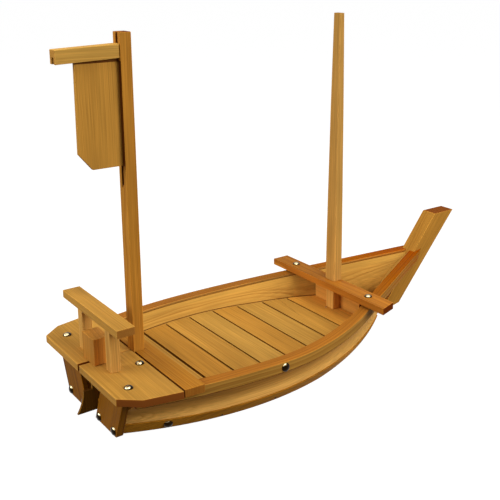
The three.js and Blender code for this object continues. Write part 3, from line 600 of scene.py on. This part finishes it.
# %% [markdown]
# ## Lines of the hull
# The side planks and rails are bent, so their grain has to bend with them. A curve object could carry it,
# but two short formulas do: the half width of the gunwale and the height of its top, the same as in the
# CAD model. Grain coordinates are then measured from the gunwale.

# %% Curves of the gunwale
HULL_AFT_X = -275.0
WIDEST_X = -92.0
SHOULDER_X = 63.0
WIDEST_HALF = 123.0
STERN_DROP = 27.0
SHOULDER_DROP = 34.0
SHEER_AFT = 60.0
SHEER_RISE = 11.5


def gunwale(x):
    """Half width and height of the gunwale at a place along the boat, in millimetres."""
    if x < WIDEST_X:
        share = (x - WIDEST_X) / (HULL_AFT_X - WIDEST_X)
        return WIDEST_HALF - STERN_DROP * share**2, SHEER_AFT
    run = SHOULDER_X - WIDEST_X
    share = min((x - WIDEST_X) / run, 1.0)
    past = max(x - SHOULDER_X, 0.0) * 2 / run
    return (
        WIDEST_HALF - SHOULDER_DROP * (share**2 + past),
        SHEER_AFT + SHEER_RISE * (share**2 + past),
    )


def bent_grain(p):
    """Grain coordinates that follow the gunwale's bend and rise."""
    x = p.x / MM
    half, top = gunwale(x)
    return Vector((x, abs(p.y) / MM - half, p.z / MM - top))


print("gunwale at the widest place:", gunwale(WIDEST_X))

# %% [markdown]
# ## Joints of the planks
# A boat builder planes each plank until it sits tight. The CAD model leaves a small clearance below the
# rails, and the hollows of the two planks leave a narrow opening low on the stem, so light would show
# through. Moving a few points of the copy closes both before the edges are eased. Painted shade then
# draws the dark line of the joint.

# %% Fit the planks
PLANK_TOP_DEPTH = 13.6  # the joint's lower edge below the gunwale's top
JOINT_DEPTH = 14.5
RAIL_CLEARANCE = 0.3 * MM
STEM_FOOT = (160.0, 15.0)  # lower end of the stem's aft face, along the boat and up
STEM_HEAD = (263.8, 146.0)
SEAM_HALF = 0.2 * MM
WIDEST_OPENING = 4.0


def fit_below_rail(bm):
    """Lifts a plank's top by the CAD model's clearance, so that no light shows through the joint."""
    top = [v for v in bm.verts if bent_grain(v.co).z > -PLANK_TOP_DEPTH]
    bmesh.ops.translate(bm, verts=top, vec=(0, 0, RAIL_CLEARANCE))


def on_seam(p):
    """Whether a point lies where the two planks meet behind the stem."""
    return abs(p.y) < SEAM_HALF


def behind_stem(p):
    """How far a point lies behind the stem's aft face, in millimetres."""
    rake = (STEM_HEAD[0] - STEM_FOOT[0]) / (STEM_HEAD[1] - STEM_FOOT[1])
    return STEM_FOOT[0] + rake * (p.z / MM - STEM_FOOT[1]) - p.x / MM


def close_on_stem(bm):
    """Draws the outer side of a plank's seam up to the stem, where the hollow leaves it open."""
    bm.normal_update()
    for vert in bm.verts:
        outside = any(face.normal.y * vert.co.y > 0 for face in vert.link_faces)
        gap = behind_stem(vert.co)
        if on_seam(vert.co) and outside and 0 < gap < WIDEST_OPENING:
            vert.co.x += gap * MM


def fit_plank(bm):
    """Closes a plank's joints with the rail and the stem."""
    fit_below_rail(bm)
    close_on_stem(bm)


def in_rail_joint(face, sign):
    """Whether a face of a plank lies on its rounded outer edge, in the joint below the rail."""
    depth = -bent_grain(face.calc_center_median()).z
    return face.normal.y * sign > 0 and depth < JOINT_DEPTH


print("the planks rise by", RAIL_CLEARANCE / MM, "mm")

# %% [markdown]
# ## Hull
# The bottom board, the planks and the rails run from stern to bow. The stem is a straight raked timber,
# and the transom planks stand with their grain upright. Outside, the cove is painted paler at its lip,
# which faces up to the lamps, and warmer in the shade below the rail. Painted shade lies in the joint
# below the rail, in a line inside along the slats, and on faces that look down. The rails get redder
# towards the bow. A plank is golden inside and paler outside, and a rail is honey on top, so both carry
# more than one timber.

# %% Bottom, stem and bulkhead
STEM_RAKE = (104.0, 0.0, 128.0)

# painted shade on the faces that look down
dress("bottom_board", LENGTHWISE, tone=0.65, warmth=0.1, shaded_faces=towards(DOWN, LOOKS_DOWN))
dress("stem", STEM_RAKE, tone=-0.05, warmth=0.2, figure=0.4)
# the bulkhead's high tone is painted light, which lifts it out of the crossbeam's shadow
dress("bulkhead", ATHWART, tone=0.8, warmth=-0.4)
print("stem rakes by", round(math.degrees(math.atan2(STEM_RAKE[0], STEM_RAKE[2]))), "degrees")

# %% Shades of planks and rails
BOW_TONE = -0.2
BOW_WARMTH = 0.7
COVE_LIP = 18 * MM
COVE_RISE = 25 * MM
# painted light: the lip is lighter where it faces up, and the cove warmer in the shade below the rail
LIP_PAINTED_LIGHT = 0.2
COVE_SHADE_WARMTH = 0.5
SHADE_LINE_WIDTH = 0.9 * MM
tray_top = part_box("tray_slat_4")[1][2]
TRAY_LINE = (tray_top, tray_top + SHADE_LINE_WIDTH)


def bow_shade(vert):
    """The change of a rail's tone and warmth from the shoulder to the stem."""
    share = min(max((vert.co.x / MM - SHOULDER_X) / (STEM_FOOT[0] - SHOULDER_X), 0.0), 1.0)
    return (BOW_TONE * share, BOW_WARMTH * share, 0)


def cove_painted_light(vert, sign):
    """Painted light on the cove: lighter at the lip, which faces up to the lamps, and warmer in the shade up
    to the rail.
    """
    if vert.normal.y * sign < 0:
        return (0, 0, 0)
    share = min(max((vert.co.z - COVE_LIP) / COVE_RISE, 0.0), 1.0)
    return (LIP_PAINTED_LIGHT * (1 - share), COVE_SHADE_WARMTH * share, 0)


def on_tray_line(face, sign):
    """Whether a face of a plank lies on its inner side, just above the slats."""
    return face.normal.y * sign < 0 and TRAY_LINE[0] < face.calc_center_median().z < TRAY_LINE[1]


def paint_faces(piece, slots, choose):
    """Gives a board more timbers, and chooses one for each face by its number."""
    for slot in slots:
        piece.data.materials.append(TIMBER[slot])
    for polygon in piece.data.polygons:
        polygon.material_index = choose(polygon.normal)


print("tray line at", round(tray_top / MM, 1), "mm")

# %% Planks, rails and transom
TRANSOM_FLARE = 0.42
OUTER_FACE = 0.05
RAIL_TOP = 0.6
RAIL_LIP = -0.5
RAIL_FOOT = -0.3
RAIL_BACK = -0.6


def plank_timber(normal, sign):
    """Golden inside, pale outside, by the number of the timber."""
    return int(normal.y * sign > OUTER_FACE)


def rail_timber(normal, sign):
    """Honey on top, golden outside and pale on the inner lip, by the number of the timber."""
    if normal.z > RAIL_TOP:
        return 0
    return 2 if normal.y * sign < RAIL_LIP else 1


def in_plank_joint(normal, sign):
    """Whether a face of a rail looks down into the joint with the plank."""
    return normal.z < RAIL_FOOT and normal.y * sign > RAIL_BACK


for side, sign in SIDES.items():
    plank = dress(
        f"side_plank_{side}",
        LENGTHWISE,
        tone=0.15,
        warmth=-0.05,
        figure=0.6,
        sides=lambda v: cove_painted_light(v, sign),
        coordinates=bent_grain,
        pith=(-160, 60),
        fitted=fit_plank,
        sharp=lambda e: all(on_seam(v.co) for v in e.verts),
        scored=TRAY_LINE,
        end=0.0,
        # painted shade in a thin line just above the slats, and in the joint below the rail
        shaded_faces=lambda f: on_tray_line(f, sign) or in_rail_joint(f, sign),
    )
    paint_faces(plank, ["pale_wood"], lambda n: plank_timber(n, sign))
    rail = dress(
        f"gunwale_rail_{side}",
        LENGTHWISE,
        tone=-0.2,
        figure=0.9,
        sides=bow_shade,
        coordinates=bent_grain,
        pith=(-70, 80),
        # painted shade on the faces that look down into the joint with the plank
        shaded_faces=lambda f: in_plank_joint(f.normal, sign),
        shade_depth=1.0,
    )
    paint_faces(rail, ["golden_wood", "pale_wood"], lambda n: rail_timber(n, sign))
    dress(
        f"transom_{side}",
        (0, sign * TRANSOM_FLARE, 1),
        tone=-0.5,
        warmth=0.3,
        figure=1.0,
        # painted shade on the faces that look down
        shaded_faces=towards(DOWN, LOOKS_DOWN),
    )
print("timbers on a rail:", len(rail.data.materials))

# %% [markdown]
# ## Stern deck and bench
# The deck boards and the beam in front of them run from side to side, so their starboard ends show darker
# end grain. The bench is a plank on two short posts. Painted shade darkens the gap between the deck and
# the beam, and the starboard deck board is painted a little darker, as painted shade.

# %% Deck and bench
# the starboard board's lower tone is painted shade
DECK_TONES = {"port": 0.0, "stbd": -0.2}

for side, tone in DECK_TONES.items():
    dress(
        f"stern_deck_{side}",
        ATHWART,
        tone,
        figure=0.3,
        pith=(-60, 70),
        # painted shade on the fore face, in the gap before the beam
        shaded_faces=towards(FORE),
    )
    dress(f"bench_post_{side}", UPRIGHT, tone=0.2)
dress(
    "aft_beam",
    ATHWART,
    tone=-0.3,
    warmth=0.4,
    pith=(-30, 60),
    end=0.5,
    # painted shade on the aft face, in the gap behind the deck
    shaded_faces=towards(AFT),
)
dress("bench_top", ATHWART, tone=-0.1, figure=0.3, pith=(90, 60), end=0.6)
print("deck boards:", len(DECK_TONES))

# %% [markdown]
# ## Rudder
# The rudder is a thin board that hangs in the slot of the deck, with a block on top to draw it by. The
# block's top and starboard side are painted lighter than its other sides, as painted light.

# %% Rudder
SQUARE_ON = 0.7  # the least cosine at which a point counts as lying on a side
# painted light on the rudder's head, by side
HEAD_STARBOARD = (1.0, 0.05, 0)
HEAD_TOP = (0.25, 0, 0)
HEAD_OTHER = (-0.1, 0, 0)


def head_painted_light(vert):
    """Painted light on the rudder's head: a lighter top and starboard side, and darker other sides."""
    if vert.normal.y < -SQUARE_ON:
        return HEAD_STARBOARD
    return HEAD_TOP if vert.normal.z > SQUARE_ON else HEAD_OTHER


dress("rudder_head", UPRIGHT, tone=0.05, warmth=-0.3, sides=head_painted_light, end=0.0)
dress("rudder_blade", UPRIGHT, tone=-0.5, radius=FINELY_EASED)
head_low, head_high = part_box("rudder_head")
print("rudder's head is", round((head_high[2] - head_low[2]) / MM), "mm high")

# %% [markdown]
# ## Rear mast and flag
# A saw kerf in the mast's aft face holds the flag: an arm with a groove below it, and a thin panel that
# hangs from the groove. Little light gets into the kerf and the corners round the panel, so these faces
# are darkened with painted shade. Level cuts across the mast and the panel bound the shaded strips.

# %% Rear mast and flag
KERF_HALF = 2.6 * MM
KERF_DEPTH = 7.1 * MM
ARM_SHADOW_WIDTH = 1.2 * MM
PANEL_EASED = 0.3 * MM
mast_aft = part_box("rear_mast")[0][0]
panel_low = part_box("flag_panel")[0][2]
arm_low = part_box("flag_arm")[0][2]


def in_kerf(face):
    """Whether a face lies on the walls of the saw kerf in the mast's aft face."""
    p = face.calc_center_median()
    return abs(p.y) < KERF_HALF and mast_aft + EASED < p.x < mast_aft + KERF_DEPTH


def beside_panel(face):
    """Whether a face of the mast lies in the corner on the starboard side of the flag panel."""
    p = face.calc_center_median()
    return face.normal.x < -SQUARE_ON and p.y < 0 and panel_low < p.z < arm_low


dress(
    "rear_mast",
    UPRIGHT,
    tone=-0.1,
    warmth=0.3,
    pith=(70, 20),
    scored=(panel_low, arm_low),
    # painted shade in the kerf, and the panel's painted shadow on the mast's aft face beside it
    shaded_faces=lambda f: in_kerf(f) or beside_panel(f),
)
dress("flag_arm", LENGTHWISE, tone=0.4, warmth=-0.2, pith=(20, 90), end=0.4)
dress(
    "flag_panel",
    UPRIGHT,
    tone=0.05,
    warmth=0.1,
    figure=0.2,
    pith=(150, 60),
    radius=PANEL_EASED,
    scored=(arm_low - ARM_SHADOW_WIDTH,),
    # a painted shadow of the arm on the top strip of the panel
    shaded_faces=lambda f: f.calc_center_median().z > arm_low - ARM_SHADOW_WIDTH,
)
print("flag panel hangs", round((arm_low - panel_low) / MM), "mm below the arm")

# %% [markdown]
# ## Crossbeam and fore mast
# The crossbeam lies on the rails, and the fore mast stands in a hole through it. The walls of the hole
# are thin and hidden by the mast, so their edges stay sharp. The beam's aft side gets painted light and its
# port half is darker, and the mast's foot, in the beam's shadow below it, is painted lighter.

# %% Crossbeam and fore mast
# painted light on the beam's aft side; the port half is darker
BEAM_AFT = (0.55, 0, 0)
BEAM_PORT = (-0.3, 0, 0)
FOOT_PAINTED_LIGHT = (0.5, 0, 0)
PLAIN = (0, 0, 0)
mast_low, mast_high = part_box("fore_mast")
beam_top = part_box("crossbeam")[1][2]


def round_mast_hole(edge):
    """Whether an edge of the crossbeam lies at the hole for the mast."""
    return all(mast_low[1] < v.co.y < mast_high[1] for v in edge.verts)


def beam_shade(vert):
    """The change of tone between the sides and halves of the crossbeam: painted light on its aft side, and a
    darker port half.
    """
    if vert.normal.x < -SQUARE_ON:
        return BEAM_AFT
    return BEAM_PORT if vert.co.y > 0 else PLAIN


dress(
    "crossbeam",
    ATHWART,
    tone=0.1,
    figure=0.9,
    sides=beam_shade,
    pith=(60, 90),
    radius=FINELY_EASED,
    sharp=round_mast_hole,
)
dress(
    "fore_mast",
    UPRIGHT,
    # painted light on the foot, which lies in the beam's shadow
    sides=lambda v: FOOT_PAINTED_LIGHT if v.co.z < beam_top else PLAIN,
    pith=(60, 90),
    radius=FINELY_EASED,
)
print("fore mast stands", round((mast_high[2] - beam_top) / MM), "mm above the crossbeam")

# %% [markdown]
# ## Tack finish
# The tacks are the domed kind that upholsterers use, pressed from brass. Their dark and bright parts are
# a painted reflection: the upper part of each dome, towards the stern's starboard side, is painted as a
# bright reflection of the lamps, and the rest as the near-black reflection of a dark studio. So the
# material reads how squarely the surface faces that side.

# %% Tack material
# Pressed brass with a painted reflection: near black, and a bright warm painted highlight that is mirror-like
GLINT_SIDE = Vector((-0.36, -0.36, 0.86)).normalized()
GLINT_EDGE = {1: 0.84, 2: 0.96}
DARK_REFLECTION_COLOUR = linear("#1C1207")
GLINT_COLOUR = linear("#F0DCA8")
POLISH = {3: 0.3, 4: 0.16}

brass = bpy.data.materials.new("brass_painted_glint")
brass.use_nodes = True
glint_tree = brass.node_tree
glint_tree.nodes.clear()
facing = add_node(glint_tree, "ShaderNodeTexCoord").outputs["Normal"]
squarely = {0: facing, 1: GLINT_SIDE}
glint_facing = add_node(glint_tree, "ShaderNodeVectorMath", squarely, operation="DOT_PRODUCT").outputs["Value"]
edge = {0: glint_facing, **GLINT_EDGE}
bright = add_node(glint_tree, "ShaderNodeMapRange", edge, interpolation_type="SMOOTHSTEP").outputs[0]
glint_colours = {0: bright, 6: DARK_REFLECTION_COLOUR, 7: GLINT_COLOUR}
metal = add_node(glint_tree, "ShaderNodeMix", glint_colours, data_type="RGBA").outputs[2]
polish = add_node(glint_tree, "ShaderNodeMapRange", {0: bright, **POLISH}).outputs[0]
surface = {"Base Color": metal, "Metallic": 1.0, "Roughness": polish}
dome = add_node(glint_tree, "ShaderNodeBsdfPrincipled", surface)
add_node(glint_tree, "ShaderNodeOutputMaterial", {"Surface": dome.outputs[0]})
print("tack finish:", brass.name)

# %% [markdown]
# ## Tacks
# A dome is a turned form, so its profile is spun round the axis, with a rolled rim at its edge. A
# squashed sphere would be quicker, but it has no rim. The CAD tack's tip and the top of its dome give the
# head's place and direction.

# %% Tack heads
TACK_RADIUS = 5.2 * MM
TACK_DOME = 2.8 * MM
TACK_STEPS = 40
DOME_STEPS = 8
DOME_SHARE = 0.97  # the dome's radius as a share of the rim's
RIM_PROFILE = ((1.0, 1.02), (0.9, 1.05), (0, 1.05))  # shares of the radius and of the dome's height
ROUND_OFF = 0.01 * MM


def tack_head():
    """A domed head along +Z with its top at the origin."""
    bm = bmesh.new()
    profile = []
    for step in range(DOME_STEPS + 1):
        angle = math.pi / 2 * step / DOME_STEPS
        profile.append((TACK_RADIUS * DOME_SHARE * math.sin(angle), TACK_DOME * (math.cos(angle) - 1)))
    profile += [(TACK_RADIUS * out, -TACK_DOME * down) for out, down in RIM_PROFILE]
    points = [bm.verts.new((x, 0, z)) for x, z in profile]
    edges = [bm.edges.new(pair) for pair in zip(points, points[1:])]
    bmesh.ops.spin(
        bm,
        geom=points + edges,
        cent=(0, 0, 0),
        axis=(0, 0, 1),
        angle=2 * math.pi,
        steps=TACK_STEPS,
        use_merge=True,
    )
    bmesh.ops.remove_doubles(bm, verts=bm.verts, dist=ROUND_OFF)
    bmesh.ops.recalc_face_normals(bm, faces=bm.faces)
    return bm


def turned_to(facing):
    """The matrix that turns +Z to a direction."""
    return Vector(facing).to_track_quat("Z", "Y").to_matrix().to_4x4()


print("tack heads are", 2 * TACK_RADIUS / MM, "mm wide")

# %% Drive in the tacks
TACK_SIDES = {
    "deck_aft": (0, 0, 1),
    "deck_fore": (0, 0, 1),
    "crossbeam": (0, 0, 1),
    "transom_inner": (-1, 0, 0),
    "transom_outer": (-1, 0, 0),
    "rail": (0, 1, 0),
    "ledge": (-0.3, 0.9, 0),
}

for place, normal in TACK_SIDES.items():
    for side, sign in SIDES.items():
        node = f"tack_{place}_{side}"
        outwards = Vector((normal[0], sign * normal[1], normal[2]))
        points = [v.co for v in frame["nodes"][node].data.vertices]
        tip = min(points, key=outwards.dot)
        top = max(points, key=lambda p: (p - tip).length)
        head = tack_head()
        seat = Matrix.Translation(top) @ turned_to(top - tip)
        bmesh.ops.transform(head, matrix=seat, verts=head.verts)
        finish_piece(head, f"{node}_head", node, brass)
print("tacks:", 2 * len(TACK_SIDES))

# %% [markdown]
# ## Nails
# A few plain nails hold the bottom board and the last slat. Their heads are small domes, so the tack's
# head serves again at a quarter of its size. A ray sent at the board's edge finds where each nail sits on
# the curved hull.

# %% Nail heads
NAIL_SIZE = 0.24
SLAT_NAIL = (70.4 * MM, 4.5 * MM)
BAND_NAILS = ((-167 * MM, 3 * MM), (-96 * MM, 4 * MM))


def nail_head(bm, place, facing):
    """Adds a nail's head to a bmesh, with its rim on a surface."""
    head = tack_head()
    rise = Vector(facing) * TACK_DOME * NAIL_SIZE
    seat = Matrix.Translation(Vector(place) + rise) @ turned_to(facing) @ Matrix.Scale(NAIL_SIZE, 4)
    bmesh.ops.transform(head, matrix=seat, verts=head.verts)
    mesh = bpy.data.meshes.new("nail")
    head.to_mesh(mesh)
    head.free()
    bm.from_mesh(mesh)
    bpy.data.meshes.remove(mesh)


nails = bmesh.new()
nail_head(nails, (*SLAT_NAIL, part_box("tray_slat_8")[1][2]), UPRIGHT)
board_mesh = bmesh.new()
board_mesh.from_mesh(frame["nodes"]["bottom_board"].data)
board_surface = BVHTree.FromBMesh(board_mesh)
board_mesh.free()
for sign in SIDES.values():
    for x, z in BAND_NAILS:
        place, facing, _, _ = board_surface.ray_cast(Vector((x, sign, z)), Vector((0, -sign, 0)))
        nail_head(nails, place, facing)
nail_mesh = bpy.data.meshes.new("nail_heads")
nails.to_mesh(nail_mesh)
nails.free()
nail_mesh.materials.append(brass)
for polygon in nail_mesh.polygons:
    polygon.use_smooth = True
nail_object = bpy.data.objects.new("nail_heads", nail_mesh)
bpy.context.scene.collection.objects.link(nail_object)
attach(nail_object, "hull")
print("nails:", 1 + 2 * len(BAND_NAILS))
